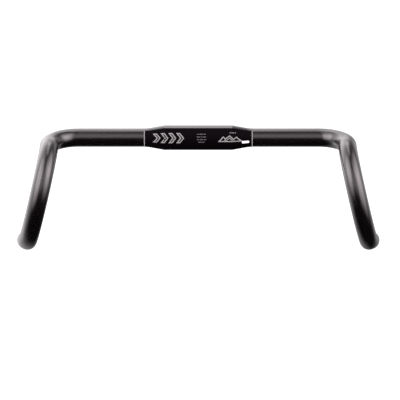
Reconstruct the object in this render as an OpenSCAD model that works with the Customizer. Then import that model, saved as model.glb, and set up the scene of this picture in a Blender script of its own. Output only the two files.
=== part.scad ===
// Flared drop handlebar with a 31.8 mm clamp bulge and a locking plug in each end.
//
// Frame: the origin is the centre of the clamp bulge, on its axis. +X runs along
// the tops to the rider's left hand, the front of the bike is -Y and +Z is up.
// The right side of the bar is the mirror image of the left side.

/* [Bar] */
// Diameter of the bulge that the stem clamps
clamp_d = 31.8; // [26.5:0.1:38.2]
// Length of the straight part of the bulge
clamp_len = 87; // [72:0.5:105]
// Outside diameter of the tops, hooks and drops
tube_d = 23.8; // [19.8:0.1:28.6]
// Wall under the stem clamp
clamp_wall = 2.3; // [1.9:0.1:2.8]
// Wall everywhere else
tube_wall = 2; // [1.6:0.1:2.4]
// Length of the cone between the bulge and the tops
taper_len = 22; // [18:0.5:27]
// Radius of the arc that blends the cone into the tops
taper_blend_r = 60; // [50:1:72]

/* [Bends] */
// Width across the tops, between the axes of the two ramps
width = 379.6; // [316:0.2:456]
// Reach, from the axis of the tops to the foremost point of the hook's axis
reach = 78.6; // [70:0.2:94.4]
// Drop, from the axis of the tops down to the axis of the drops
drop = 132; // [110:0.5:158.5]
// Radius of the corner between the tops and the ramp
corner_r = 37; // [30:0.5:44.5]
// Angle by which the ramp falls towards the hook
ramp_angle = 18; // [10:0.5:22]
// Length of the straight ramp, between the corner and the hook
ramp_len = 3.4; // [1:0.1:8]
// Angle by which the hooks are rolled outwards
flare = 13.2; // [0:0.2:20]
// Length of the straight drop, up to the bar end
drop_len = 60; // [48:0.5:72]

/* [Plug cap] */
// Radial clearance of the spigot and the sleeve in the bar's bore
plug_clear = 0.08; // [0.06:0.01:0.1]
// How far the flange stays inside the outside of the tube
flange_inset = 0.2; // [0.1:0.05:0.4]
// Thickness of the flange at its middle
flange_t = 3.6; // [3:0.1:4.4]
// Radius of the flange's domed face
dome_r = 45; // [37:1:54]
// Rounding of the flange's outer edge
flange_round = 0.8; // [0.6:0.1:1]
// Length of the spigot inside the bar
spigot_len = 7; // [5.8:0.1:8.4]
// Thickness of the seal ring's cord
seal_d = 1.6; // [1.4:0.1:1.9]
// How much the seal ring is squashed in its groove
seal_squash = 0.3; // [0.2:0.05:0.4]

/* [Expander] */
// Length of the expander sleeve
sleeve_len = 14; // [11.6:0.1:16.8]
// Wall of the sleeve at its thin end
sleeve_wall = 1.1; // [0.9:0.1:1.3]
// Width of the slits in the sleeve
slit_w = 2; // [1.6:0.1:2.4]
// Half angle of the wedge nut's cone
wedge_angle = 11; // [9:0.5:13]
// Length of the wedge nut
wedge_len = 15; // [12.5:0.5:17]
// How far the wedge nut stands out behind the sleeve
wedge_tail = 5; // [4.2:0.1:6]
// Clearance between pieces that slide or turn on each other
run_clear = 0.05; // [0.03:0.01:0.08]

/* [Screw] */
// Nominal diameter of the screw
screw_d = 5; // [4.1:0.1:6]
// Length of the screw under its head
screw_len = 30; // [27:0.5:36]
// Diameter of the screw's head
head_d = 8.5; // [7.1:0.1:10.2]
// Height of the screw's head
head_h = 5; // [4.2:0.1:6]
// How deep the head sits below the cap's face
head_sunk = 0.3; // [0.1:0.1:0.6]
// Size across the flats of the hexagon socket
hex_af = 4; // [3.3:0.1:4.8]
// Depth of the hexagon socket
hex_depth = 2.6; // [2.1:0.1:3.1]
// How much wider than the head the washer is
washer_rim = 0.25; // [0.1:0.05:0.3]
// Thickness of the washer
washer_t = 1; // [0.8:0.1:1.2]

/* [Hidden] */
$fn = 64;
past = 1; // how far a cut runs past the face that it opens

// Bends don't touch each other: a ring a little wider than the tube joins them
seam_gap = 0.05;
seam_w = 1.2;
seam_h = 0.02;

satin_black = [0.05, 0.05, 0.055];
plug_black = [0.09, 0.09, 0.095];
rubber_black = [0.03, 0.03, 0.03];
nylon_grey = [0.32, 0.33, 0.34];
zinc_steel = [0.66, 0.67, 0.69];
bare_alloy = [0.78, 0.79, 0.8];

clamp_r = clamp_d / 2;
tube_r = tube_d / 2;
bore_r = tube_r - tube_wall;
half_clamp = clamp_len / 2;
taper_end = half_clamp + taper_len;
tops_len = width / 2 - corner_r;

// The hook's plane holds the ramp's axis and is rolled outwards by the flare.
// The axis runs forwards until front_turn, and is level again at hook_turn. The
// front radius sets the reach and the lower radius sets the drop.
hook_down = cos(flare) * cos(ramp_angle);
hook_back = cos(flare) * sin(ramp_angle);
front_turn = atan2(cos(ramp_angle), hook_back);
hook_turn = 180 - atan2(sin(ramp_angle), hook_down);
ramp_end = corner_r + ramp_len;
front_r = (reach - ramp_end * cos(ramp_angle))
    / (norm([cos(ramp_angle), hook_back]) - hook_back);
front_drop = ramp_end * sin(ramp_angle)
    + front_r * (sin(front_turn) * sin(ramp_angle) + (1 - cos(front_turn)) * hook_down);
lower_r = (drop - front_drop)
    / ((sin(hook_turn) - sin(front_turn)) * sin(ramp_angle)
        + (cos(front_turn) - cos(hook_turn)) * hook_down);

// The plugs are drawn on their own axis: 0 is the bar's end face, plus goes into
// the bar.
spigot_r = bore_r - plug_clear;
flange_r = tube_r - flange_inset;
head_top = head_sunk - flange_t;
head_under = head_top + head_h;
washer_at = head_under + run_clear;
pocket_floor = washer_at + washer_t;
screw_r = screw_d / 2;
head_r = head_d / 2;
washer_r = head_r + washer_rim;
pocket_r = washer_r + 0.2;
screw_hole_r = screw_r + 0.25;
seal_floor_r = bore_r - run_clear - seal_d + seal_squash;
seal_at = 0.62 * spigot_len;
sleeve_end = spigot_len + sleeve_len;
thin_r = spigot_r - sleeve_wall;
wedge_end = sleeve_end + wedge_tail;
wedge_start = wedge_end - wedge_len;
wedge_r = spigot_r - 0.4;
wedge_cone_end = sleeve_end + (wedge_r + run_clear - thin_r) / tan(wedge_angle);
key_w = slit_w - 0.2;
key_r = spigot_r - 0.5;
lug_len = 1.5;

// Radius of the sleeve's conical bore at a place along the plug
function cone_r(at) = thin_r - (sleeve_end - at) * tan(wedge_angle);

// A straight rod along +Z. Children go on from its end. A radius of 0 draws
// nothing, and only carries the children along.
module straight(len, r) {
    if (r > 0) cylinder(h = len, r = r);
    translate([0, 0, len]) children();
}

// A bent rod that starts along +Z and turns towards +X. Children go on from its
// end. It stops short of its two ends by seam_gap, which a seam then bridges.
module bend(axis_r, turn, r) {
    trim = seam_gap / axis_r * 180 / PI;
    if (r > 0)
        translate([axis_r, 0, 0]) rotate([90, 0, 180])
            rotate_extrude(angle = turn - 2 * trim, start = trim)
                translate([axis_r, 0]) circle(r = r);
    translate([axis_r, 0, 0]) rotate([0, turn, 0]) translate([-axis_r, 0, 0]) children();
}

// The faint ring that the bending dies leave where one bend ends and the next begins
module seam(r) {
    if (r > 0) translate([0, 0, -seam_w / 2]) cylinder(h = seam_w, r = r + seam_h);
    children();
}

// The cone from the bulge to the tops, along +Z, blended by an arc into the tops
module taper(r_clamp, r_tube) {
    slope = atan((r_clamp - r_tube) / taper_len);
    run = taper_blend_r * tan(slope / 2);
    rotate_extrude() difference() {
        polygon([
            [0, half_clamp], [r_clamp, half_clamp],
            [r_tube + run * sin(slope), taper_end - run * cos(slope)],
            [r_tube, taper_end + run], [0, taper_end + run]
        ]);
        translate([r_tube + taper_blend_r, taper_end + run]) circle(r = taper_blend_r, $fn = 360);
    }
}

// The axis of the left side, from the taper to the bar end, as a bent rod.
// Children go on from the bar end, with +Z out of the bar.
module left_side(r) {
    rotate([0, 90, 0]) translate([0, 0, taper_end]) straight(tops_len - seam_gap - taper_end, r)
        translate([0, 0, seam_gap]) seam(r)
        rotate([0, 0, ramp_angle - 90]) bend(corner_r, 90, r) seam(r)
        translate([0, 0, seam_gap]) straight(ramp_len - 2 * seam_gap, r)
        translate([0, 0, seam_gap]) seam(r)
        rotate([0, 0, 90 + flare]) bend(front_r, front_turn, r) seam(r)
        bend(lower_r, hook_turn - front_turn, r) seam(r)
        translate([0, 0, seam_gap]) straight(drop_len - seam_gap, r)
        children();
}

// The whole bar as one bent rod. Children go on from both ends.
module bar_rod(r_clamp, r_tube) {
    rotate([0, 90, 0]) cylinder(h = clamp_len, r = r_clamp, center = true);
    for (side = [0, 1]) mirror([side, 0, 0]) {
        rotate([0, 90, 0]) taper(r_clamp, r_tube);
        left_side(r_tube) children();
    }
}

// Puts a plug's piece on the plug's axis, at the left or the right bar end
module at_bar_end(side) {
    mirror([side == "right" ? 1 : 0, 0, 0]) left_side(0) rotate([180, 0, 0]) children();
}

module bar_tube() {
    color(satin_black) difference() {
        bar_rod(clamp_r, tube_r) union() {}
        bar_rod(clamp_r - clamp_wall, bore_r) cylinder(h = past, r = bore_r);
    }
}

// Half of the flange's section: a domed face with a rounded edge
module flange_section() {
    dome_at = dome_r - flange_t;
    round_x = flange_r - flange_round;
    round_y = dome_at - sqrt(pow(dome_r - flange_round, 2) - pow(round_x, 2));
    intersection() {
        translate([0, dome_at]) circle(r = dome_r, $fn = 360);
        translate([0, -flange_t]) square([round_x * dome_r / (dome_r - flange_round), flange_t]);
    }
    translate([round_x, round_y]) circle(r = flange_round);
    translate([0, round_y]) square([flange_r, -round_y]);
}

module plug_cap() {
    groove_w = seal_d + 0.2;
    color(plug_black) difference() {
        union() {
            rotate_extrude() flange_section();
            cylinder(h = spigot_len, r = spigot_r);
            translate([key_r - 2.5, -key_w / 2, spigot_len - past])
                cube([2.5, key_w, past + lug_len]);
        }
        translate([0, 0, -flange_t - past])
            cylinder(h = flange_t + past + pocket_floor, r = pocket_r);
        cylinder(h = spigot_len + past, r = screw_hole_r);
        translate([0, 0, seal_at - groove_w / 2]) difference() {
            cylinder(h = groove_w, r = tube_r);
            cylinder(h = groove_w, r = seal_floor_r);
        }
    }
}

module plug_seal() {
    seal_w = seal_d - seal_squash;
    color(rubber_black) rotate_extrude() translate([seal_floor_r + seal_w / 2, seal_at])
        intersection() {
            circle(r = seal_d / 2);
            square([seal_w, 2 * seal_d], center = true);
        }
}

module plug_washer() {
    color(zinc_steel) translate([0, 0, washer_at]) difference() {
        cylinder(h = washer_t, r = washer_r);
        translate([0, 0, -past]) cylinder(h = washer_t + 2 * past, r = screw_r + 0.15);
    }
}

module plug_screw() {
    edge = 0.3;
    tip = 0.6;
    color(zinc_steel) difference() {
        union() {
            translate([0, 0, head_top]) cylinder(h = edge, r1 = head_r - edge, r2 = head_r);
            translate([0, 0, head_top + edge]) cylinder(h = head_h - edge, r = head_r);
            translate([0, 0, head_under]) cylinder(h = screw_len - tip, r = screw_r);
            translate([0, 0, head_under + screw_len - tip])
                cylinder(h = tip, r1 = screw_r, r2 = screw_r - tip);
        }
        translate([0, 0, head_top - past])
            cylinder(h = hex_depth + past, r = hex_af / 2 / cos(30), $fn = 6);
    }
}

module expander_sleeve() {
    rib_w = 1.4;
    ribs = floor(sleeve_len / (2 * rib_w));
    relief_len = 0.62 * sleeve_len;
    color(nylon_grey) difference() {
        translate([0, 0, spigot_len]) cylinder(h = sleeve_len, r = spigot_r);
        translate([0, 0, spigot_len - past])
            cylinder(h = sleeve_len + 2 * past, r1 = cone_r(spigot_len - past), r2 = cone_r(sleeve_end + past));
        translate([0, -slit_w / 2, spigot_len - past]) cube([tube_r, slit_w, sleeve_len + 2 * past]);
        for (turn = [90, 180, 270]) rotate([0, 0, turn])
            translate([0, -slit_w / 2, sleeve_end - relief_len]) cube([tube_r, slit_w, relief_len + past]);
        for (n = [1 : ribs - 1]) translate([0, 0, spigot_len + n * sleeve_len / ribs - rib_w / 4])
            difference() {
                cylinder(h = rib_w / 2, r = tube_r);
                cylinder(h = rib_w / 2, r = spigot_r - 0.35);
            }
    }
}

module wedge_nut() {
    color(bare_alloy) difference() {
        union() {
            translate([0, 0, wedge_start]) cylinder(
                h = wedge_cone_end - wedge_start,
                r1 = cone_r(wedge_start) - run_clear, r2 = wedge_r
            );
            translate([0, 0, wedge_cone_end]) cylinder(h = wedge_end - wedge_cone_end, r = wedge_r);
            translate([screw_r + 1, -key_w / 2, wedge_start + 1])
                cube([key_r - screw_r - 1, key_w, wedge_cone_end - wedge_start - 1]);
        }
        translate([0, 0, wedge_start - past])
            cylinder(h = wedge_len + 2 * past, r = screw_r + run_clear);
    }
}

bar_tube();
at_bar_end("left") plug_cap();  // left_plug_cap
at_bar_end("left") plug_seal();  // left_plug_seal
at_bar_end("left") plug_washer();  // left_plug_washer
at_bar_end("left") plug_screw();  // left_plug_screw
at_bar_end("left") expander_sleeve();  // left_expander_sleeve
at_bar_end("left") wedge_nut();  // left_wedge_nut
at_bar_end("right") plug_cap();  // right_plug_cap
at_bar_end("right") plug_seal();  // right_plug_seal
at_bar_end("right") plug_washer();  // right_plug_washer
at_bar_end("right") plug_screw();  // right_plug_screw
at_bar_end("right") expander_sleeve();  // right_expander_sleeve
at_bar_end("right") wedge_nut();  // right_wedge_nut
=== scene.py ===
"""A flared drop handlebar in satin black alloy, with a locking plug in each end.

Everything is in metres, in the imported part's own frame: the origin is the centre of
the clamp bulge, +X runs along the tops to the rider's left hand, the front of the
bike is -Y and +Z is up. The sizes repeat the part's own, so every piece made here
lies where its packed one does.
"""

from __future__ import annotations

import logging
import math
from dataclasses import dataclass, field, replace
from enum import Enum
from functools import cached_property
from typing import Callable, Iterable, Sequence

import bmesh
import bpy
from mathutils import Matrix, Vector

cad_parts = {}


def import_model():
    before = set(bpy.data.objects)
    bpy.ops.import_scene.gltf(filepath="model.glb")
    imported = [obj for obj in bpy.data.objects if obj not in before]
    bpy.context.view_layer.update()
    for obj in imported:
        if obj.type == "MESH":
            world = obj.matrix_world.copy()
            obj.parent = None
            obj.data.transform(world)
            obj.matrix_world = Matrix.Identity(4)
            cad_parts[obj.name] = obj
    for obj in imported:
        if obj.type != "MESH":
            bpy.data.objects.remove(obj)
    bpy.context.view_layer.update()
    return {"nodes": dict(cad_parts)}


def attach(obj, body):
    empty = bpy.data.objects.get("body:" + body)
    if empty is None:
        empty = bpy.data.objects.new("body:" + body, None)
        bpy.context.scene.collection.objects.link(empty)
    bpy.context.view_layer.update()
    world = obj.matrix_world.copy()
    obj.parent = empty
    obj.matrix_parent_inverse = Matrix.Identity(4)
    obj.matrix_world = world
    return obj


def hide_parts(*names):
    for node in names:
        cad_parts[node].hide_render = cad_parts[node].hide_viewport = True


LOG = logging.getLogger("drop_bar")
MM = 0.001
Point = tuple[float, float, float]
Settings = dict[str, object] | None


class Side(Enum):
    """The two sides of the bar, named for the rider's hands."""

    LEFT = "left"
    RIGHT = "right"

    @property
    def sign(self) -> float:
        """The sign of X on this side."""
        return 1.0 if self is Side.LEFT else -1.0


# Shader expressions


class NodeTree:
    """The node tree of one material, light or world, with short ways to fill it."""

    def __init__(self, tree: bpy.types.NodeTree) -> None:
        """Starts from an empty tree."""
        self.tree = tree
        self.tree.nodes.clear()

    def node(
        self, kind: str, settings: Settings = None, *terms: object, **inputs: object
    ) -> bpy.types.Node:
        """Adds a node, sets its settings, then fills its sockets.

        Args:
            kind: the node's type, without the leading "ShaderNode".
            settings: properties of the node, set before its sockets; "stops" fills a
                colour ramp with (position, grey) pairs.
            *terms: values, sockets or expressions for the sockets in use, in order.
            **inputs: the same by socket name, with "_" for " ".
        Returns:
            The new node.
        """
        node = self.tree.nodes.new("ShaderNode" + kind)
        for name, value in (settings or {}).items():
            if name == "stops":
                self._fill_ramp(node.color_ramp, value)
            else:
                setattr(node, name, value)
        sockets = [socket for socket in node.inputs if socket.enabled]
        for socket, term in zip(sockets, terms):
            self.feed(socket, term)
        for name, value in inputs.items():
            self.feed(next(s for s in sockets if s.name == name.replace("_", " ")), value)
        return node

    @staticmethod
    def _fill_ramp(ramp: bpy.types.ColorRamp, stops: Sequence[tuple[float, float]]) -> None:
        """Gives a colour ramp its grey stops.

        Args:
            ramp: the ramp, of which one stop is kept and moved.
            stops: the (position, grey) pairs, in order.
        """
        while len(ramp.elements) > 1:
            ramp.elements.remove(ramp.elements[-1])
        for n, (place, grey) in enumerate(stops):
            element = ramp.elements[0] if n == 0 else ramp.elements.new(place)
            element.position = place
            element.color = (grey, grey, grey, 1.0)

    def feed(self, socket: bpy.types.NodeSocket, value: object) -> None:
        """Links an expression or a socket to a socket, or sets a constant on it.

        Args:
            socket: the socket to fill.
            value: what it takes, with no alpha where it is a colour.
        """
        if isinstance(value, Value):
            value = value.socket
        if isinstance(value, bpy.types.NodeSocket):
            self.tree.links.new(value, socket)
        else:
            socket.default_value = (*value, 1.0) if socket.type == "RGBA" else value

    def value(
        self, kind: str, settings: Settings = None, *terms: object, **inputs: object
    ) -> Value:
        """Adds a node, as above, and wraps its first output in use as an expression."""
        node = self.node(kind, settings, *terms, **inputs)
        return Value(self, next(socket for socket in node.outputs if socket.enabled))

    @cached_property
    def place(self) -> Value:
        """The place on the surface, in the piece's own frame."""
        return Value(self, self.node("TexCoord").outputs["Object"])

    def noise(self, scale: float, detail: float, at: Value | None = None) -> Value:
        """A cloud from 0 to 1 over the surface, whose grains are about 1 / scale wide."""
        return self.value("TexNoise", Vector=at or self.place, Scale=scale, Detail=detail)

    def vector(self, operation: str, *terms: object) -> Value:
        """Adds a Vector Math node on these terms and gives its vector, or its number."""
        return self.value("VectorMath", {"operation": operation}, *terms)

    def mix(self, factor: Value, low: Point | Value, high: Point | Value) -> Value:
        """Mixes two colours: the low one at 0 and the high one at 1."""
        return self.value("Mix", {"data_type": "RGBA"}, factor, low, high)


@dataclass(frozen=True)
class Value:
    """A socket that carries a number, so that shader maths reads as arithmetic."""

    nodes: NodeTree
    socket: bpy.types.NodeSocket

    def _math(self, operation: str, *terms: object) -> Value:
        """Adds a Math node on these terms, in order."""
        return self.nodes.value("Math", {"operation": operation}, *terms)

    def __add__(self, other: object) -> Value:
        """The sum."""
        return self._math("ADD", self, other)

    def __sub__(self, other: object) -> Value:
        """The difference."""
        return self._math("SUBTRACT", self, other)

    def __rsub__(self, other: object) -> Value:
        """A number less this."""
        return self._math("SUBTRACT", other, self)

    def __mul__(self, other: object) -> Value:
        """The product."""
        return self._math("MULTIPLY", self, other)

    __radd__ = __add__
    __rmul__ = __mul__

    def __truediv__(self, other: object) -> Value:
        """The quotient."""
        return self._math("DIVIDE", self, other)

    def __gt__(self, other: object) -> Value:
        """1 where this is greater than the other, else 0."""
        return self._math("GREATER_THAN", self, other)

    def sine(self) -> Value:
        """The sine of an angle in radians."""
        return self._math("SINE", self)

    def absolute(self) -> Value:
        """The size without its sign."""
        return self._math("ABSOLUTE", self)

    def arctangent(self) -> Value:
        """The angle in radians that has this tangent."""
        return self._math("ARCTANGENT", self)

    def least(self, other: object) -> Value:
        """The smaller of the two."""
        return self._math("MINIMUM", self, other)

    def ramp(self, *stops: tuple[float, float]) -> Value:
        """A piecewise linear curve through (input, output) stops, from 0 to 1."""
        return self.nodes.value("ValToRGB", {"stops": stops}, self)


# Finishes


@dataclass(frozen=True)
class Finish:
    """A material: the constants of its surface and what varies over it.

    The methods that vary it add their nodes to the material's node tree.
    """

    name: str
    colour: Point
    roughness: float
    metallic: float = 0.0
    specular: float = 0.5
    bump: float = 0.05
    bump_depth: float = 0.02 * MM

    def build(self) -> bpy.types.Material:
        """Makes the material.

        Returns:
            The new material.
        """
        material = bpy.data.materials.new(self.name)
        material.use_nodes = True
        material.diffuse_color = (*self.colour, 1.0)
        nodes = NodeTree(material.node_tree)
        relief = self.relief(nodes)
        bump = nodes.node("Bump", Strength=self.bump, Distance=self.bump_depth, Height=relief)
        shader = nodes.node(
            "BsdfPrincipled",
            Base_Color=self.base(nodes),
            Metallic=self.metallic,
            Roughness=self.rough(nodes),
            Specular_IOR_Level=self.specular,
            Normal=bump.outputs["Normal"],
        )
        nodes.node("OutputMaterial", Surface=shader.outputs["BSDF"])
        return material

    def base(self, nodes: NodeTree) -> Value:
        """The colour over the surface: the finish's own, mottled a little."""
        cloud = nodes.noise(scale=180.0, detail=3.0)
        return nodes.mix(cloud, self.tone(0.82), self.tone(1.18))

    def rough(self, nodes: NodeTree) -> Value:
        """The roughness over the surface."""
        cloud = nodes.noise(scale=320.0, detail=4.0)
        return self.roughness * (0.92 + 0.16 * cloud)

    def relief(self, nodes: NodeTree) -> Value:
        """The height over the surface, from 0 to 1."""
        return nodes.noise(scale=1400.0, detail=2.0)

    def tone(self, share: float) -> Point:
        """The finish's own colour, darker below a share of 1 and paler above it."""
        return tuple(share * c for c in self.colour)


@dataclass(frozen=True)
class SatinBlack(Finish):
    """Black anodised alloy under a thin satin lacquer, rubbed a little by handling."""

    specks: float = 0.25

    def base(self, nodes: NodeTree) -> Value:
        """Near black, with a faint mottle and a few paler rubbed specks."""
        mottled = nodes.mix(nodes.noise(scale=60.0, detail=5.0), self.tone(0.8), self.colour)
        return nodes.mix(self.specks * (nodes.noise(900.0, 2.0) > 0.76), mottled, self.tone(3.0))

    def rough(self, nodes: NodeTree) -> Value:
        """Satin, clouded by the lacquer and by handling marks."""
        cloud, grain = nodes.noise(scale=45.0, detail=6.0), nodes.noise(scale=1200.0, detail=2.0)
        return self.roughness * (0.9 + 0.14 * cloud + 0.06 * grain)

    def relief(self, nodes: NodeTree) -> Value:
        """The orange peel of the lacquer over the grain of the etched alloy."""
        peel = nodes.noise(scale=420.0, detail=2.0)
        return 0.7 * peel + 0.3 * nodes.noise(scale=2600.0, detail=2.0)


@dataclass(frozen=True)
class GrainedCap(Finish):
    """The cap's hard black plastic, with the fine grain of a spark-eroded mould."""

    bump: float = 0.35

    def relief(self, nodes: NodeTree) -> Value:
        """Rounded grains of two sizes."""
        coarse = nodes.value("TexVoronoi", Vector=nodes.place, Scale=2200.0)
        return 0.6 * coarse + 0.4 * nodes.noise(scale=5200.0, detail=2.0)

    def rough(self, nodes: NodeTree) -> Value:
        """Duller in the grain, with a few smooth patches polished by the hand."""
        cloud = nodes.noise(scale=150.0, detail=3.0)
        return self.roughness * (1.0 - 0.3 * cloud.ramp((0.5, 0.0), (0.8, 1.0)))


@dataclass(frozen=True)
class SealRubber(Finish):
    """Moulded rubber with a soft, uneven skin and a pale bloom."""

    bump: float = 0.2

    def base(self, nodes: NodeTree) -> Value:
        """Black, greyed in patches by the bloom."""
        bloom = nodes.noise(scale=260.0, detail=4.0).ramp((0.45, 0.0), (0.8, 0.6))
        return nodes.mix(bloom, self.colour, self.tone(2.2))


@dataclass(frozen=True)
class MouldedNylon(Finish):
    """Grey nylon with the streaks of its flow through the mould."""

    bump: float = 0.18
    streaks: Point = (1400.0, 160.0, 1400.0)

    def base(self, nodes: NodeTree) -> Value:
        """Grey, streaked along the bar end."""
        flow = nodes.noise(1.0, 3.0, at=nodes.vector("MULTIPLY", nodes.place, self.streaks))
        return nodes.mix(flow, self.tone(0.72), self.tone(1.25))


@dataclass(frozen=True)
class TurnedMetal(Finish):
    """Metal turned on a lathe: fine rings round the plug's axis, on faces and sides.

    The two plugs are mirror images, so one axis serves both once X has lost its sign.
    """

    bump: float = 0.3
    bump_depth: float = 0.008 * MM
    centre: Point = (0.0, 0.0, 0.0)
    axis: Point = (0.0, 1.0, 0.0)
    feed: float = 0.22 * MM
    stain: float = 0.2

    def tool_path(self, nodes: NodeTree) -> Value:
        """How far the tool had moved, across the faces and along the sides.

        Args:
            nodes: the node tree.
        Returns:
            The depth along the axis plus the distance from it.
        """
        place = nodes.place
        folded = nodes.vector("ABSOLUTE", nodes.vector("MULTIPLY", place, (1.0, 0.0, 0.0)))
        rest = nodes.vector("MULTIPLY", place, (0.0, 1.0, 1.0))
        from_end = nodes.vector("SUBTRACT", nodes.vector("ADD", folded, rest), self.centre)
        depth = nodes.vector("DOT_PRODUCT", from_end, self.axis)
        radius = nodes.vector("LENGTH", nodes.vector("CROSS_PRODUCT", from_end, self.axis))
        return radius + depth

    def relief(self, nodes: NodeTree) -> Value:
        """The ridges that the tool left."""
        return 0.5 + 0.5 * (self.tool_path(nodes) * (2 * math.pi / self.feed)).sine()

    def base(self, nodes: NodeTree) -> Value:
        """The metal, stained a little in clouds."""
        cloud = nodes.noise(scale=420.0, detail=4.0).ramp((0.35, 0.0), (0.75, 1.0))
        return nodes.mix(cloud, self.colour, self.tone(1 - self.stain))

    def rough(self, nodes: NodeTree) -> Value:
        """Rougher where it is stained."""
        cloud = nodes.noise(scale=420.0, detail=4.0)
        return self.roughness * (0.8 + 0.5 * cloud)


# Meshes


@dataclass
class MeshPlan:
    """Vertices and faces of one mesh, collected before Blender makes it."""

    points: list[Point] = field(default_factory=list)
    faces: list[tuple[int, ...]] = field(default_factory=list)

    def ring(self, points: Iterable[Point]) -> list[int]:
        """Adds a row of points.

        Args:
            points: the points, in order.
        Returns:
            Their numbers.
        """
        start = len(self.points)
        self.points.extend(tuple(p) for p in points)
        return list(range(start, len(self.points)))

    def skin(self, first: Sequence[int], second: Sequence[int], closed: bool = True) -> None:
        """Joins two rows of the same length with quads.

        Args:
            first: the numbers of one row's points.
            second: the numbers of the next row's points.
            closed: whether the last point of a row meets the first.
        """
        count = len(first)
        for n in range(count if closed else count - 1):
            after = (n + 1) % count
            self.faces.append((first[n], first[after], second[after], second[n]))

    def loft(self, rows: Sequence[Sequence[int]], closed: bool = True) -> None:
        """Joins each row of a list to the next, closed or not."""
        for first, second in zip(rows, rows[1:]):
            self.skin(first, second, closed)

    def cap(self, row: Sequence[int]) -> None:
        """Closes a row with one flat face."""
        self.faces.append(tuple(row))

    def zip_up(self, row: Sequence[int]) -> None:
        """Closes a row that runs out and back on itself with a strip of quads.

        Args:
            row: the numbers of its points, the way out and the way back equally long.
        """
        last = len(row) - 1
        for n in range(len(row) // 2 - 1):
            self.faces.append((row[n], row[n + 1], row[last - n - 1], row[last - n]))

    def build(
        self, name: str, material: bpy.types.Material, smooth: float = 30.0, weld: float = 0.0
    ) -> bpy.types.Object:
        """Makes the object, with outward normals and one material.

        Args:
            name: the object's name.
            material: its only material.
            smooth: the angle in degrees above which an edge stays sharp.
            weld: the distance within which points become one, or 0 to keep them all.
        Returns:
            The new object, linked to the scene.
        """
        mesh = bpy.data.meshes.new(name)
        mesh.from_pydata(self.points, [], self.faces)
        tidy = bmesh.new()
        tidy.from_mesh(mesh)
        if weld > 0:
            bmesh.ops.remove_doubles(tidy, verts=tidy.verts, dist=weld)
            bmesh.ops.dissolve_degenerate(tidy, dist=weld, edges=tidy.edges)
        bmesh.ops.recalc_face_normals(tidy, faces=tidy.faces)
        tidy.to_mesh(mesh)
        tidy.free()
        for polygon in mesh.polygons:
            polygon.use_smooth = True
        mesh.set_sharp_from_angle(angle=math.radians(smooth))
        mesh.materials.append(material)
        obj = bpy.data.objects.new(name, mesh)
        bpy.context.scene.collection.objects.link(obj)
        return obj


@dataclass
class Walker:
    """A point that walks along the tube's axis and carries a square frame with it."""

    at: Vector
    ahead: Vector
    out: Vector

    def turn(self, towards: Vector, radius: float, angle: float) -> Walker:
        """Walks round an arc.

        Args:
            towards: the unit vector from here to the arc's centre.
            radius: the arc's radius.
            angle: how far it turns, in radians.
        Returns:
            The walker at the arc's end, with its frame turned and not twisted.
        """
        hinge = self.ahead.cross(towards)
        spin = Matrix.Rotation(angle, 3, hinge)
        centre = self.at + towards * radius
        return Walker(centre + spin @ (self.at - centre), spin @ self.ahead, spin @ self.out)

    def bend(self, towards: Vector, radius: float, angle: float, step: float) -> list[Walker]:
        """Walks round an arc as above, in even turns of at most a step."""
        count = math.ceil(angle / step)
        return [self.turn(towards, radius, angle * n / count) for n in range(1, count + 1)]

    def step(self, length: float) -> Walker:
        """Walks straight on."""
        return Walker(self.at + self.ahead * length, self.ahead.copy(), self.out.copy())

    def straight(self, length: float, count: int) -> list[Walker]:
        """Walks straight on in a count of even steps."""
        return [self.step(length * n / count) for n in range(1, count + 1)]

    def across(self, angle: float) -> Vector:
        """The unit vector square to the axis at an angle from the outward side."""
        return math.cos(angle) * self.out + math.sin(angle) * self.ahead.cross(self.out)

    def circle(self, radii: Sequence[float]) -> list[Point]:
        """Points round the axis here, each at its own distance from it."""
        turns = [2 * math.pi * n / len(radii) for n in range(len(radii))]
        return [tuple(self.at + r * self.across(turn)) for r, turn in zip(radii, turns)]


@dataclass(frozen=True)
class Station:
    """One cross-section of the tube: where it is, and how thick it is there."""

    walker: Walker
    outer: float
    inner: float


# The bar


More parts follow.
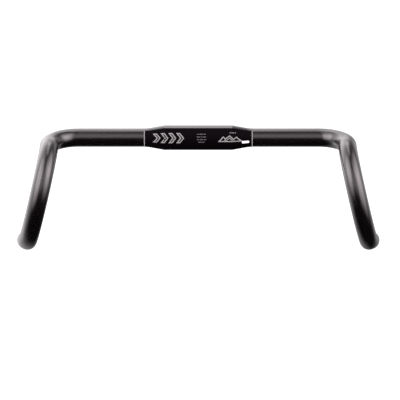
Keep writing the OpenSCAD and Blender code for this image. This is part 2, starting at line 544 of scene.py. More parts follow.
@dataclass
class BarTube:
    """The bent, butted tube: clamp bulge, tapers, tops, corners, ramps, hooks, drops."""

    clamp_r: float = 15.9 * MM
    clamp_len: float = 87 * MM
    tube_r: float = 11.9 * MM
    clamp_wall: float = 2.3 * MM
    tube_wall: float = 2.0 * MM
    taper_len: float = 22 * MM
    taper_blend_r: float = 60 * MM
    width: float = 379.6 * MM
    reach: float = 78.6 * MM
    drop: float = 132 * MM
    corner_r: float = 37 * MM
    ramp_angle: float = math.radians(18)
    ramp_len: float = 3.4 * MM
    flare: float = math.radians(13.2)
    drop_len: float = 60 * MM
    end_round: float = 0.35 * MM
    sides: int = 96
    bend_step: float = math.radians(2.2)

    def __post_init__(self) -> None:
        """Works out the hook from the reach and the drop."""
        rise, run = math.sin(self.ramp_angle), math.cos(self.ramp_angle)
        down, back = math.cos(self.flare) * run, math.cos(self.flare) * rise
        self.front_turn = math.atan2(run, back)
        self.hook_turn = math.pi - math.atan2(rise, down)
        ramp_end = self.corner_r + self.ramp_len
        self.front_r = (self.reach - ramp_end * run) / (math.hypot(run, back) - back)
        front_drop = ramp_end * rise + self.front_r * (
            math.sin(self.front_turn) * rise + (1 - math.cos(self.front_turn)) * down
        )
        self.lower_r = (self.drop - front_drop) / (
            (math.sin(self.hook_turn) - math.sin(self.front_turn)) * rise
            + (math.cos(self.front_turn) - math.cos(self.hook_turn)) * down
        )

    def taper(self, big: float, small: float, x: float) -> float:
        """The radius at a distance from the middle of the bar.

        Args:
            big: the radius of the bulge.
            small: the radius of the tops.
            x: the distance from the middle.
        Returns:
            The radius of the cone, blended by an arc into the tops.
        """
        start = self.clamp_len / 2
        corner = start + self.taper_len
        slope = math.atan((big - small) / self.taper_len)
        run = self.taper_blend_r * math.tan(slope / 2)
        if x <= start:
            return big
        if x <= corner - run * math.cos(slope):
            return small + (corner - x) * math.tan(slope)
        if x >= corner + run:
            return small
        fall = corner + run - x
        return small + self.taper_blend_r - math.sqrt(self.taper_blend_r**2 - fall**2)

    def outer(self, x: float) -> float:
        """The outside radius at a distance from the middle."""
        return self.taper(self.clamp_r, self.tube_r, x)

    def inner(self, x: float) -> float:
        """The bore's radius at a distance from the middle."""
        return self.taper(self.clamp_r - self.clamp_wall, self.tube_r - self.tube_wall, x)

    def tops_places(self) -> list[float]:
        """Where the tops have a cross-section: close together at the bulge's edge and
        where its cone blends into the tops.

        Returns:
            The distances from the middle of the bar.
        """
        start, end = self.clamp_len / 2, self.width / 2 - self.corner_r
        blend = start + self.taper_len
        edge, blend_step = 0.4 * MM, 1.5 * MM
        places = [0.0, start / 3, 2 * start / 3, start - edge, start, start + edge]
        places += [start + self.taper_len * n / 10 for n in range(1, 7)]
        places += [blend + blend_step * n for n in range(-5, 6)]
        return places + [blend + (end - blend) * n / 6 for n in range(3, 7)]

    def stations(self) -> list[Station]:
        """The left side's cross-sections, from the middle to the bar end.

        Returns:
            The cross-sections, in order.
        """
        middle = Walker(Vector((0, 0, 0)), Vector((1, 0, 0)), Vector((0, 0, 1)))
        tops = [Station(middle.step(x), self.outer(x), self.inner(x)) for x in self.tops_places()]
        forward, rolled = self.hook_plane()
        level = rolled * math.cos(self.front_turn) - forward * math.sin(self.front_turn)
        lower_turn = self.hook_turn - self.front_turn
        path = [tops[-1].walker]
        path += path[-1].bend(forward, self.corner_r, math.pi / 2, self.bend_step)
        path += path[-1].straight(self.ramp_len, 2)
        path += path[-1].bend(rolled, self.front_r, self.front_turn, self.bend_step)
        path += path[-1].bend(level, self.lower_r, lower_turn, self.bend_step)
        path += path[-1].straight(self.drop_len, 12)
        return tops + [Station(at, self.tube_r, self.tube_r - self.tube_wall) for at in path[1:]]

    def end(self, side: Side) -> Walker:
        """The bar end on one side.

        Args:
            side: the side.
        Returns:
            A walker that heads out of the bar, with the hook's inside as its out.
        """
        forward, rolled = self.hook_plane()
        ahead = math.cos(self.hook_turn) * forward + math.sin(self.hook_turn) * rolled
        inside = math.cos(self.hook_turn) * rolled - math.sin(self.hook_turn) * forward
        flip = Vector((side.sign, 1, 1))
        return Walker(self.stations()[-1].walker.at * flip, ahead * flip, inside * flip)

    def hook_plane(self) -> tuple[Vector, Vector]:
        """The plane in which the left hook bends.

        Returns:
            Its two unit vectors, along the ramp and down.
        """
        forward = Vector((0, -math.cos(self.ramp_angle), -math.sin(self.ramp_angle)))
        below = Vector((0, math.sin(self.ramp_angle), -math.cos(self.ramp_angle)))
        return forward, math.cos(self.flare) * below + math.sin(self.flare) * Vector((1, 0, 0))

    def build(self, material: bpy.types.Material) -> bpy.types.Object:
        """Makes the whole tube as one closed mesh with its bore open at both ends.

        Args:
            material: the bar's finish.
        Returns:
            The tube.
        """
        plan = MeshPlan()
        left = self.stations()
        lip = self.end_lip(left[-1])
        outsides = [(s.walker, s.outer) for s in left[:-1]] + lip[: len(lip) // 2]
        insides = [(s.walker, s.inner) for s in left[:-1]] + lip[len(lip) // 2 :][::-1]
        outer_rows = self.both_sides(plan, outsides)
        inner_rows = self.both_sides(plan, insides)
        plan.loft(outer_rows)
        plan.loft(inner_rows)
        plan.skin(outer_rows[0], inner_rows[0])
        plan.skin(outer_rows[-1], inner_rows[-1])
        return plan.build("bar", material)

    def end_lip(self, last: Station) -> list[tuple[Walker, float]]:
        """Rounds both edges of the bar's cut end.

        Args:
            last: the cross-section at the cut.
        Returns:
            The rings and their radii, from the outside in to the bore.
        """
        steps = 4
        rings = []
        for n in range(steps + 1):
            angle = math.pi / 2 * n / steps
            back = self.end_round * (1 - math.sin(angle))
            shrink = self.end_round * (1 - math.cos(angle))
            rings.append((last.walker.step(-back), last.outer - shrink))
        inside = [(walker, last.inner + (last.outer - radius)) for walker, radius in rings]
        return rings + inside[::-1]

    def both_sides(
        self, plan: MeshPlan, rings: Sequence[tuple[Walker, float]]
    ) -> list[list[int]]:
        """Adds rings and their mirror images.

        Args:
            plan: the mesh to add to.
            rings: the left side's rings and their radii, from the middle out.
        Returns:
            Each ring's numbers, from the right end to the left end.
        """
        circles = [walker.circle([radius] * self.sides) for walker, radius in rings]
        mirrored = [[(-x, y, z) for x, y, z in circle] for circle in circles[:0:-1]]
        return [plan.ring(circle) for circle in mirrored + circles]


# The end plugs


@dataclass
class EndPlug:
    """A locking plug: cap, seal, washer, screw, expander sleeve and wedge nut.

    Depths run along the plug's axis: 0 is the bar's end face and plus goes into the bar.
    The seal, washer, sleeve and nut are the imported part's own; the cap and the screw are
    made here, with their grip, bevels and thread.
    """

    tube: BarTube
    side: Side
    sides: int = 144
    spigot_r: float = 9.82 * MM
    spigot_len: float = 7 * MM
    flange_r: float = 11.7 * MM
    flange_t: float = 3.6 * MM
    flange_round: float = 0.8 * MM
    dome_r: float = 45 * MM
    pocket_r: float = 4.7 * MM
    pocket_floor: float = 2.75 * MM
    screw_hole_r: float = 2.75 * MM
    seal_at: float = 4.34 * MM
    seal_groove_w: float = 1.8 * MM
    seal_floor_r: float = 8.55 * MM
    groove_r: float = 8.9 * MM
    groove_w: float = 0.5 * MM
    groove_depth: float = 0.25 * MM
    bevel: float = 0.2 * MM
    flutes: int = 24
    flute_depth: float = 0.35 * MM
    lug_r: float = 9.32 * MM
    lug_h: float = 2.5 * MM
    lug_w: float = 1.8 * MM
    lug_len: float = 1.5 * MM

    def __post_init__(self) -> None:
        """Finds the plug's axis."""
        self.axis = self.tube.end(self.side)

    def ring(self, plan: MeshPlan, depth: float, radii: Sequence[float]) -> list[int]:
        """Adds a ring of points at a depth, each at its own distance from the axis."""
        return plan.ring(self.axis.step(-depth).circle(radii))

    def dome(self, radius: float) -> float:
        """The depth of the cap's domed face at a radius."""
        return self.dome_r - self.flange_t - math.sqrt(self.dome_r**2 - radius**2)

    def face_profile(self) -> list[tuple[float, float]]:
        """The cap's outer face: a bevelled pocket, a ring groove and a rounded rim.

        Returns:
            Its (depth, radius) points, from the pocket to the back of the rim.
        """
        groove_end = self.groove_r + self.groove_w
        pocket_lip = self.pocket_r + self.bevel
        profile = [(self.dome(self.pocket_r) + self.bevel, self.pocket_r)]
        between = [pocket_lip + (self.groove_r - pocket_lip) * n / 3 for n in range(4)]
        profile += [(self.dome(r), r) for r in between]
        profile += [(self.dome(r) + self.groove_depth, r) for r in (self.groove_r, groove_end)]
        profile.append((self.dome(groove_end), groove_end))
        round_r = self.flange_r - self.flange_round
        dome_at = self.dome_r - self.flange_t
        round_at = dome_at - math.sqrt((self.dome_r - self.flange_round) ** 2 - round_r**2)
        start = math.asin(round_r / (self.dome_r - self.flange_round))
        steps = 6
        for n in range(steps + 1):
            turn = start + (math.pi / 2 - start) * n / steps
            depth = round_at - self.flange_round * math.cos(turn)
            profile.append((depth, round_r + self.flange_round * math.sin(turn)))
        profile += [(-self.bevel, self.flange_r), (0.0, self.flange_r - self.bevel)]
        return profile

    def spigot_profile(self) -> list[tuple[float, float]]:
        """The rest of the cap.

        Returns:
            Its (depth, radius) points, from the back of the flange to the pocket's wall.
        """
        groove = self.seal_at - self.seal_groove_w / 2, self.seal_at + self.seal_groove_w / 2
        return [
            (0.0, self.spigot_r),
            (groove[0], self.spigot_r),
            (groove[0], self.seal_floor_r),
            (groove[1], self.seal_floor_r),
            (groove[1], self.spigot_r),
            (self.spigot_len - self.bevel, self.spigot_r),
            (self.spigot_len, self.spigot_r - self.bevel),
            (self.spigot_len, self.screw_hole_r + self.bevel),
            (self.spigot_len - self.bevel, self.screw_hole_r),
            (self.pocket_floor, self.screw_hole_r),
            (self.pocket_floor, self.pocket_r),
        ]

    def cap(self, material: bpy.types.Material) -> bpy.types.Object:
        """Makes the cap: a domed, fluted flange, a grooved spigot and an anti-turn lug.

        Args:
            material: the cap's finish.
        Returns:
            The cap.
        """
        plan = MeshPlan()
        rings = []
        for depth, radius in self.face_profile() + self.spigot_profile():
            on_rim = radius > self.flange_r - self.flange_round / 2
            fluting = self.flute_depth if on_rim else 0.0
            radii = [radius - fluting * self.flute(n) for n in range(self.sides)]
            rings.append(self.ring(plan, depth, radii))
        plan.loft([*rings, rings[0]])
        self.lug(plan)
        return plan.build(f"{self.side.value}_cap", material)

    def flute(self, n: int) -> float:
        """How deep the grip's flute is at a point of a ring, from 0 to 1."""
        turn = 2 * math.pi * n * self.flutes / self.sides
        return max(0.0, math.cos(turn)) ** 2

    def lug(self, plan: MeshPlan) -> None:
        """Adds the lug that keeps the cap from turning, in the sleeve's slit.

        Args:
            plan: the mesh to add to.
        """
        side = self.axis.across(math.pi / 2)
        inner = self.lug_r - self.lug_h
        root = self.spigot_len - self.bevel / 2
        tip = self.spigot_len + self.lug_len
        rows = []
        for depth, inset in ((root, 0.0), (tip - self.bevel, 0.0), (tip, self.bevel)):
            half = self.lug_w / 2 - inset
            low, high = inner + inset, self.lug_r - inset
            corners = ((low, -half), (high, -half), (high, half), (low, half))
            centre = self.axis.step(-depth).at
            rows.append(plan.ring(centre + x * self.axis.out + y * side for x, y in corners))
        plan.loft(rows)
        plan.cap(rows[0])
        plan.cap(rows[-1])

    def build(
        self, plastic: bpy.types.Material, steel: bpy.types.Material
    ) -> list[bpy.types.Object]:
        """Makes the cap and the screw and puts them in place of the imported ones.

        Args:
            plastic: the cap's finish.
            steel: the screw's finish.
        Returns:
            The cap and the screw.
        """
        name = self.side.value
        cap = self.cap(plastic)
        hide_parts(f"{name}_plug_cap")
        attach(cap, f"{name}_plug")
        screw = SocketScrew(self).build(steel)
        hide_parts(f"{name}_plug_screw")
        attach(screw, f"{name}_screw")
        return [cap, screw]


@dataclass
class SocketScrew:
    """The M5 socket screw: a knurled head, a hexagon socket and a real thread."""

    plug: EndPlug
    sides: int = 48
    head_top: float = -3.3 * MM
    head_h: float = 5 * MM
    head_r: float = 4.25 * MM
    knurl_depth: float = 0.14 * MM
    bevel: float = 0.35 * MM
    hex_af: float = 4 * MM
    hex_depth: float = 2.6 * MM
    drill_r: float = 1.95 * MM
    drill_tip_r: float = 0.4 * MM
    drill_depth: float = 0.9 * MM
    length: float = 30 * MM
    tip: float = 0.6 * MM
    screw_r: float = 2.5 * MM
    root_r: float = 2.01 * MM
    pitch: float = 0.8 * MM
    plain_len: float = 1.2 * MM

    def hexagon(self, af: float) -> list[float]:
        """The distance from the axis to a hexagon, at each point of a ring."""
        turns = [math.radians(360 * n / self.sides % 60 - 30) for n in range(self.sides)]
        return [af / 2 / math.cos(turn) for turn in turns]

    def round(self, radius: float) -> list[float]:
        """The same distance from the axis at each point of a ring."""
        return [radius] * self.sides

    def knurled(self, radius: float) -> list[float]:
        """A ring whose every second point is a knurl's groove."""
        return [radius - self.knurl_depth * (n % 2) for n in range(self.sides)]

    def head(self, plan: MeshPlan) -> None:
        """Adds the head, from the drill point in its socket to the plain neck below it.

        Args:
            plan: the mesh to add to.
        """
        under = self.head_top + self.head_h
        floor = self.head_top + self.hex_depth
        rows = [
            (floor + self.drill_depth, self.round(self.drill_tip_r)),
            (floor, self.round(self.drill_r)),
            (floor, self.hexagon(self.hex_af)),
            (self.head_top + self.bevel / 2, self.hexagon(self.hex_af)),
            (self.head_top, self.hexagon(self.hex_af + self.bevel)),
            (self.head_top, self.round(self.head_r - self.bevel)),
            (self.head_top + self.bevel, self.round(self.head_r - self.knurl_depth)),
            (self.head_top + 2 * self.bevel, self.knurled(self.head_r)),
            (under - 2 * self.bevel, self.knurled(self.head_r)),
            (under - self.bevel, self.round(self.head_r - self.knurl_depth)),
            (under, self.round(self.head_r - self.bevel)),
            (under, self.round(self.screw_r)),
        ]
        rings = [self.plug.ring(plan, depth, radii) for depth, radii in rows]
        plan.loft(rings)
        plan.cap(rings[0])

    def thread_span(self) -> tuple[float, float]:
        """The depths at which the thread starts and ends."""
        under = self.head_top + self.head_h
        return under + self.plain_len, under + self.length - self.tip

    def thread(self, plan: MeshPlan) -> None:
        """Adds the thread as one long strip wound round the axis.

        The strip's first and last turn are pressed flat against the thread's two ends,
        where welding makes them plain rings.

        Args:
            plan: the mesh to add to.
        """
        start, end = self.thread_span()
        root, crest = self.root_r, self.screw_r
        section = ((0.0, root), (0.25, root), (0.5625, crest), (0.6875, crest))
        rows = []
        for turn in range(math.ceil((end - start) / self.pitch) + 2):
            for place, radius in section:
                points = (self.thread_point(turn + place, radius, n) for n in range(self.sides + 1))
                rows.append(plan.ring(points))
        plan.loft(rows, closed=False)

    def thread_point(self, turn: float, radius: float, n: int) -> Point:
        """A point of the thread.

        Args:
            turn: the point's place along the strip's width, in pitches.
            radius: its distance from the axis, away from the thread's two ends.
            n: its number round the axis.
        Returns:
            The point.
        """
        start, end = self.thread_span()
        depth = start + self.pitch * (turn - n / self.sides)
        plain = self.screw_r if depth < (start + end) / 2 else self.root_r
        margin = min(depth - start, end - depth)
        depth = min(max(depth, start), end)
        share = min(max(margin / self.pitch, 0.0), 1.0)
        here = self.plug.axis.step(-depth)
        around = here.across(2 * math.pi * n / self.sides)
        return tuple(here.at + around * (plain + (radius - plain) * share))

    def build(self, material: bpy.types.Material) -> bpy.types.Object:
        """Makes the screw.

        Args:
            material: the screw's finish.
        Returns:
            The screw.
        """
        plan = MeshPlan()
        self.head(plan)
        self.thread(plan)
        start, end = self.thread_span()
        neck = ((start - self.plain_len, self.screw_r), (start, self.screw_r))
        tip = ((end, self.root_r), (end + self.tip, self.root_r - self.tip))
        for part in (neck, tip):
            rows = [self.plug.ring(plan, depth, self.round(radius)) for depth, radius in part]
            plan.loft(rows)
        plan.cap(rows[-1])
        return plan.build(f"{self.plug.side.value}_screw", material, weld=0.002 * MM)


# The printing on the bulge


@dataclass(frozen=True)
class PanelBlack(Finish):
    """The dead black printed panel: a matt ink that shows almost no reflection."""

    def relief(self, nodes: NodeTree) -> Value:
        """The dots of the screen that the ink was printed through."""
        return nodes.value("TexVoronoi", Vector=nodes.place, Scale=3200.0)


@dataclass(frozen=True)
class PrintInk(Finish):
    """Pale ink, laid on thinly enough that the black below dulls it in small spots."""

    def base(self, nodes: NodeTree) -> Value:
        """The ink's colour, duller in small spots."""
        spots = nodes.noise(scale=1500.0, detail=3.0).ramp((0.3, 0.0), (0.55, 1.0))
        return nodes.mix(spots, self.tone(0.78), self.colour)


@dataclass(frozen=True)
class Stroke:
    """A printed line of even width through (along, around) points, with mitred corners."""

    points: tuple[tuple[float, float], ...]
    width: float
    closed: bool = False

    def rails(self, step: float) -> list[tuple[Vector, Vector]]:
        """The line's two edges, in pairs of points at most a step apart.

        Args:
            step: the longest distance between two pairs.
        Returns:
            The pairs in order, each with its left point first.
        """
        corners = [self.corner(n) for n in range(len(self.points))]
        if self.closed:
            corners.append(corners[0])
        pairs = [corners[0]]
        for (left, right), (next_left, next_right) in zip(corners, corners[1:]):
            count = math.ceil(max((next_left - left).length, (next_right - right).length) / step)
            for n in range(1, count + 1):
                pairs.append((left.lerp(next_left, n / count), right.lerp(next_right, n / count)))
        return pairs[:-1] if self.closed else pairs

    def corner(self, n: int) -> tuple[Vector, Vector]:
        """The line's two edges at one of its points.

        Args:
            n: the point's number.
        Returns:
            The left and the right edge point, on the corner's mitre.
        """
        here = Vector(self.points[n])
        normals = []
        for first, second in ((n - 1, n), (n, n + 1)):
            if self.closed or (first >= 0 and second < len(self.points)):
                ahead = Vector(self.points[second % len(self.points)]) - Vector(self.points[first])
                normals.append(Vector((-ahead.y, ahead.x)).normalized())
        mitre = (normals[0] + normals[-1]).normalized()
        across = mitre * (self.width / 2 / mitre.dot(normals[0]))
        return here + across, here - across


@dataclass
class Printing:
    """The panel round the front of the bulge, its two border lines and its marks.

    A place is given by how far it is along the bar, and how far it is round the bulge
    from its foremost line, with up as plus. Every piece is a closed film that stands a
    few hundredths of a millimetre proud of the bar. The marks' own sizes are written
    where they are drawn.
    """

    tube: BarTube
    half_length: float = 69 * MM
    top_at_tube: float = math.radians(44.5)
    top_at_bulge: float = math.radians(48)
    bottom: float = math.radians(-110)
    panel_lift: float = 0.03 * MM
    mark_lift: float = 0.06 * MM
    sink: float = 0.03 * MM
    border_w: float = 1.0 * MM
    stroke_w: float = 1.3 * MM
    fine_w: float = 0.85 * MM
    step: float = 1.5 * MM
    dash_gap: float = 0.9 * MM
    panel_rows: int = 44
    badge_rows: int = 8

    def place(self, along: float, around: float, lift: float) -> Point:
        """A point above the bar's surface.

        Args:
            along: the distance along the bar from its middle.
            around: the arc round the bulge from its foremost line.
            lift: the height above the surface.
        Returns:
            The point.
        """
        radius = self.tube.outer(abs(along)) + lift
        angle = around / self.tube.clamp_r
        return (along, -radius * math.cos(angle), radius * math.sin(angle))

    def film(
        self,
        plan: MeshPlan,
        places: Sequence[float],
        edges: Callable[[float], tuple[float, float]],
        lift: float,
        rows: int,
    ) -> None:
        """Adds a film between two edges round the bar.

        Args:
            plan: the mesh to add to.
            places: how far along the bar each column of points is.
            edges: gives the lower and upper edge, as arcs round the bulge, at a place.
            lift: the height of the film's face above the bar.
            rows: how many faces there are from edge to edge.
        """
        rings = []
        for along in places:
            low, high = edges(along)
            arcs = [low + (high - low) * n / rows for n in range(rows + 1)]
            face = [self.place(along, arc, lift) for arc in arcs]
            back = [self.place(along, arc, -self.sink) for arc in reversed(arcs)]
            rings.append(plan.ring(face + back))
        plan.loft(rings)
        plan.zip_up(rings[0])
        plan.zip_up(rings[-1])

    def stroke(self, plan: MeshPlan, line: Stroke) -> None:
        """Adds one printed line, which bends round the bar.

        Args:
            plan: the mesh to add to.
            line: the line.
        """
        rings = []
        for left, right in line.rails(self.step / 2):
            face = [self.place(*left, self.mark_lift), self.place(*right, self.mark_lift)]
            back = [self.place(*right, -self.sink), self.place(*left, -self.sink)]
            rings.append(plan.ring(face + back))
        plan.loft([*rings, rings[0]] if line.closed else rings)
        if not line.closed:
            plan.cap(rings[0])
            plan.cap(rings[-1])

    def panel_edges(self, along: float) -> tuple[float, float]:
        """The panel's edges, as arcs round the bulge.

        Args:
            along: the place along the bar.
        Returns:
            The lower and the upper edge.
        """
        tube = self.tube
        swell = (tube.outer(abs(along)) - tube.tube_r) / (tube.clamp_r - tube.tube_r)
        top = self.top_at_tube + (self.top_at_bulge - self.top_at_tube) * swell
        return self.bottom * tube.clamp_r, top * tube.clamp_r

    def columns(self, start: float, end: float) -> list[float]:
        """Evenly spaced places from one to another, about a step apart."""
        count = round((end - start) / self.step)
        return [start + (end - start) * n / count for n in range(count + 1)]

    def panel(self) -> MeshPlan:
        """The black panel.

        Returns:
            Its mesh.
        """
        plan = MeshPlan()
        places = self.columns(-self.half_length, self.half_length)
        self.film(plan, places, self.panel_edges, self.panel_lift, self.panel_rows)
        return plan

    def borders(self) -> MeshPlan:
        """The pale lines at the two ends of the panel.

        Returns:
            Their mesh.
        """
        plan = MeshPlan()
        for side in Side:
            middle = side.sign * self.half_length
            places = [middle + self.border_w * (n / 2 - 0.5) for n in range(3)]
            self.film(plan, places, self.panel_edges, self.mark_lift, self.panel_rows)
        return plan

    def chevrons(self) -> MeshPlan:
        """Four outlined chevrons on the right-hand side of the panel.

        Returns:
            Their mesh.
        """
        plan = MeshPlan()
        height, depth, body = 6.0 * MM, 4.6 * MM, 3.4 * MM
        heels, middle = (-57 * MM, -47 * MM, -37 * MM, -27 * MM), -1.1 * MM
        for heel in heels:
            left = [(heel, middle + height), (heel + depth, middle), (heel, middle - height)]
            right = [(along + body, around) for along, around in reversed(left)]
            self.stroke(plan, Stroke((*left, *right), self.stroke_w, closed=True))
        return plan

    def dashes(
        self, plan: MeshPlan, middle: float, around: float, lengths: Sequence[float]
    ) -> None:
        """Adds a row of short dashes.

        Args:
            plan: the mesh to add to.
            middle: the middle of the row along the bar.
            around: the row's place round the bulge.
            lengths: the length of each dash.
        """
        along = middle - (sum(lengths) + self.dash_gap * (len(lengths) - 1)) / 2
        for length in lengths:
            ends = ((along, around), (along + length, around))
            self.stroke(plan, Stroke(ends, self.fine_w))
            along += length + self.dash_gap

    def centre_rows(self) -> MeshPlan:
        """Four rows of dashes at the middle of the panel.

        Returns:
            Their mesh.
        """
        plan = MeshPlan()
        middle = 4.0 * MM
        rows = {4.0: (2.0, 4.6, 2.6), 0.4: (4.2, 1.6, 4.2), -3.0: (2.8, 4.4, 3.0), -6.4: (4.4, 2.4)}
        for around, lengths in rows.items():
            self.dashes(plan, middle, around * MM, [length * MM for length in lengths])
        return plan

    def hills(self) -> MeshPlan:
        """A line of hills over a base line, with a smaller crest in it and dashes above.

        Returns:
            Their mesh.
        """
        plan = MeshPlan()
        foot, base = 26.5 * MM, -5.4 * MM
        peaks = ((5.4, 5.8), (8.2, 3.2), (13.6, 7.2), (18.6, 2.6), (22.4, 5.4))
        outline = ((0.0, 0.0), *peaks, (28.8, 0.0))
        crest = ((6.6, 2.0), (9.0, 1.2), (13.6, 4.4), (17.6, 1.2))
        for corners, width, closed in ((outline, self.stroke_w, True), (crest, self.fine_w, False)):
            points = tuple((foot + x * MM, base + z * MM) for x, z in corners)
            self.stroke(plan, Stroke(points, width, closed))
        self.dashes(plan, 44 * MM, 5.9 * MM, [1.5 * MM, 3.2 * MM, 1.5 * MM])
        return plan

    def badge(self) -> MeshPlan:
        """The small white block with round corners at the panel's left-hand end.

        Returns:
            Its mesh.
        """
        middle, low, high = 60.4 * MM, -9.4 * MM, -5.8 * MM
        half, radius = 4.5 * MM, 0.9 * MM

        def edges(along: float) -> tuple[float, float]:
            """The block's edges, as arcs round the bulge.

            Args:
                along: the place along the bar.
            Returns:
                The lower and the upper edge.
            """
            into = max(0.0, abs(along - middle) - (half - radius))
            fall = radius - math.sqrt(max(0.0, radius**2 - into**2))
            return low + fall, high - fall

        steps = 6
        flat = [(half - radius) * n / 5 for n in range(5)]
        turns = [math.pi / 2 * n / steps for n in range(steps + 1)]
        outward = flat + [half - radius * (1 - math.sin(turn)) for turn in turns]
        places = [middle - x for x in reversed(outward[1:])] + [middle + x for x in outward]
        plan = MeshPlan()
        self.film(plan, places, edges, self.mark_lift, self.badge_rows)
        return plan

    def build(self) -> list[bpy.types.Object]:
        """Makes every printed piece in its own ink.

        Returns:
            The printed pieces.
        """
        black = PanelBlack("panel black", (0.0006, 0.0002, 0.0006), 0.6, specular=0.015).build()
        grey = PrintInk("pale grey ink", (0.085, 0.083, 0.085), 0.55, specular=0.2).build()
        dim = PrintInk("dim grey ink", (0.042, 0.04, 0.041), 0.6, specular=0.1).build()
        white = PrintInk("white ink", (0.5, 0.5, 0.5), 0.5, specular=0.3).build()
        pieces = (
            ("printed_panel", self.panel(), black),
            ("panel_borders", self.borders(), grey),
            ("chevron_marks", self.chevrons(), grey),
            ("centre_marks", self.centre_rows(), dim),
            ("hill_marks", self.hills(), grey),
            ("white_mark", self.badge(), white),
        )
        return [plan.build(name, ink) for name, plan, ink in pieces]


# The studio


BAR_MIDDLE = Vector((0.0, 0.0, -0.06))
WARM = (1.07, 0.967, 1.0)
NEUTRAL = (1.03, 0.985, 1.0)


@dataclass(frozen=True)
class Softbox:
    """A rectangular studio light that faces the bar, brightest in its middle.

    The azimuth is 0 in front of the bar and grows towards +X, and the elevation is 90
    straight above it. The two half sizes are seen from the bar and reach to where the
    light is half as bright, and the two falls are the widths of its soft edges. Every
    angle is in degrees.
    """

    name: str
    azimuth: float
    elevation: float
    half_width: float
    half_height: float
    side_fall: float
    end_fall: float
    radiance: float
    colour: Point = NEUTRAL
    distance: float = 1.7

    def build(self) -> bpy.types.Object:
        """Makes the light as one panel that glows less and less towards its edge.

        Returns:
            The panel, hidden from the camera but not from reflections.
        """
        around, up = math.radians(self.azimuth), math.radians(self.elevation)
        level = Vector((math.sin(around), -math.cos(around), 0.0))
        away = math.cos(up) * level + Vector((0.0, 0.0, math.sin(up)))
        lamp = bpy.data.lights.new(self.name, "AREA")
        lamp.shape = "RECTANGLE"
        lamp.size = 2 * self.distance * self.reach(self.half_width, self.side_fall)
        lamp.size_y = 2 * self.distance * self.reach(self.half_height, self.end_fall)
        lamp.energy = self.radiance * math.pi * lamp.size * lamp.size_y
        lamp.color = self.colour
        lamp.use_nodes = True
        nodes = NodeTree(lamp.node_tree)
        spot = nodes.node("SeparateXYZ", None, nodes.node("NewGeometry").outputs["Parametric"])
        across = self.glow(Value(nodes, spot.outputs["X"]), self.half_width, self.side_fall)
        upright = self.glow(Value(nodes, spot.outputs["Y"]), self.half_height, self.end_fall)
        light = nodes.node("Emission", Strength=across.least(upright).least(1.0))
        nodes.node("OutputLight", Surface=light.outputs["Emission"])
        panel = bpy.data.objects.new(self.name, lamp)
        panel.location = BAR_MIDDLE + self.distance * away
        panel.rotation_euler = (-away).to_track_quat("-Z", "Y").to_euler()
        panel.visible_camera = False
        bpy.context.scene.collection.objects.link(panel)
        return panel

    @staticmethod
    def reach(half_angle: float, fall: float) -> float:
        """The tangent of the angle at which the panel ends, seen from the bar."""
        return math.tan(math.radians(half_angle + fall / 2))

    def glow(self, along: Value, half_angle: float, fall: float) -> Value:
        """The brightness at a place from 0 to 1 along a side: 1 or more inside, 0 at the edge."""
        tangent = (along - 0.5).absolute() * (2 * self.reach(half_angle, fall))
        return (math.radians(half_angle) - tangent.arctangent()) / math.radians(fall) + 0.5


SOFTBOXES = (
    Softbox("front right hand", -47, 23, 22, 28.5, 5, 38, 8.4, colour=WARM),
    Softbox("front left hand", 60.5, 23, 22.5, 26, 28, 46, 9.8, colour=WARM),
    Softbox("front centre", 5.5, 20, 32, 22, 12, 20, 2.1, colour=WARM),
    Softbox("rear right hand", -104, 28, 35, 41, 28, 54, 4.0),
    Softbox("rear right hand, low", -142, 0, 28, 46, 54, 36, 1.0),
    Softbox("rear left hand", 152, 28, 60, 38, 18, 40, 0.5),
    Softbox("rear left hand, low", 117, 15, 32, 18, 11, 34, 1.2),
    Softbox("overhead strip", 180, 81, 8.6, 20, 4, 5, 3.4),
    Softbox("overhead panel", 205, 67, 27, 38, 7, 8, 0.2),
    Softbox("rear centre", 190, 42, 21, 27, 17, 7, 1.4),
)


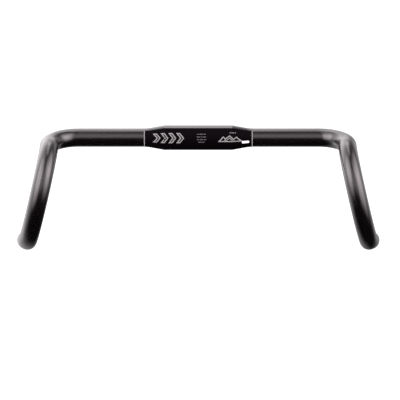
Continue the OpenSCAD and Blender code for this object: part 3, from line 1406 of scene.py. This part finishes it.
@dataclass
class Studio:
    """The camera, the pale floor, the white surround and the softboxes."""

    distance: float = 5.0
    sight: float = 100.0
    view_width: float = 0.5128
    centre_x: float = 0.0022
    centre_z: float = -0.0801
    floor_z: float = -0.62
    floor_size: float = 60.0
    surround_light: float = 1.3
    surround_in_gloss: float = 0.02

    def camera(self) -> None:
        """Puts the camera level in front of the bar, far off, with a long lens."""
        data = bpy.data.cameras.new("camera")
        data.lens = data.sensor_width * self.distance / self.view_width
        data.clip_end = self.sight
        camera = bpy.data.objects.new("camera", data)
        camera.location = (self.centre_x, -self.distance, self.centre_z)
        camera.rotation_euler = (math.pi / 2, 0, 0)
        bpy.context.scene.collection.objects.link(camera)
        bpy.context.scene.camera = camera

    def floor(self) -> None:
        """Lays the pale floor, well below the bar, which a stem would hold."""
        plan = MeshPlan()
        half = self.floor_size / 2
        corners = [(-half, -half), (half, -half), (half, half), (-half, half)]
        plan.cap(plan.ring((x, y, self.floor_z) for x, y in corners))
        pale = Finish("pale floor", (0.9, 0.9, 0.9), 0.8, specular=0.0)
        floor = plan.build("floor", pale.build())
        floor.visible_glossy = False

    def surround(self) -> None:
        """Lights the world: white to the eye and to the floor, dark in reflections."""
        world = bpy.data.worlds.new("studio")
        bpy.context.scene.world = world
        world.use_nodes = True
        nodes = NodeTree(world.node_tree)
        white, dim = (
            nodes.node("Background", Color=(1, 1, 1), Strength=strength).outputs[0]
            for strength in (self.surround_light, self.surround_in_gloss)
        )
        glossy = nodes.node("LightPath").outputs["Is Glossy Ray"]
        mixed = nodes.node("MixShader", None, glossy, white, dim)
        nodes.node("OutputWorld", Surface=mixed.outputs[0])

    def build(self) -> None:
        """Sets up everything around the bar."""
        self.camera()
        self.floor()
        self.surround()
        for softbox in SOFTBOXES:
            softbox.build()
        bpy.context.scene.view_settings.view_transform = "Standard"


def dress_plugs(frame: dict, tube: BarTube) -> list[bpy.types.Object]:
    """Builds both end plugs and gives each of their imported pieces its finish.

    Args:
        frame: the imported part.
        tube: the bar, whose ends place the plugs.
    Returns:
        Every piece of the two plugs.
    """
    end = tube.end(Side.LEFT)
    lathe = {"metallic": 1.0, "centre": tuple(end.at), "axis": tuple(end.ahead)}
    plastic = GrainedCap("grained black cap", (0.006, 0.0057, 0.006), 0.5).build()
    steel = TurnedMetal("zinc plated steel", (0.36, 0.37, 0.39), 0.3, **lathe).build()
    bare = TurnedMetal("bare turned alloy", (0.5, 0.51, 0.53), 0.24, **lathe)
    alloy = replace(bare, feed=0.35 * MM, bump=0.5, stain=0.1).build()
    finishes = {
        "plug_seal": SealRubber("seal rubber", (0.008, 0.008, 0.008), 0.7, specular=0.3).build(),
        "plug_washer": steel,
        "expander_sleeve": MouldedNylon("grey nylon", (0.07, 0.073, 0.076), 0.45).build(),
        "wedge_nut": alloy,
    }
    pieces = []
    for side in Side:
        pieces += EndPlug(tube, side).build(plastic, steel)
        for piece, finish in finishes.items():
            node = frame["nodes"][f"{side.value}_{piece}"]
            node.data.materials.clear()
            node.data.materials.append(finish)
            pieces.append(node)
    return pieces


def main() -> None:
    """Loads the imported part, builds every piece around it and reports each one."""
    logging.basicConfig(level=logging.INFO, format="%(name)s: %(message)s")
    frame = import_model()
    Studio().build()
    satin = SatinBlack("satin black", (0.0006, 0.0002, 0.00045), 0.24).build()
    tube = BarTube()
    bar = tube.build(satin)
    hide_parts("bar_tube")
    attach(bar, "bar")
    marks = Printing(tube).build()
    for printed in marks:
        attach(printed, "bar")
    for piece in [bar, *marks, *dress_plugs(frame, tube)]:
        LOG.info(
            "%s: %d faces in %s", piece.name, len(piece.data.polygons), piece.data.materials[0].name
        )


if __name__ == "__main__":
    main()
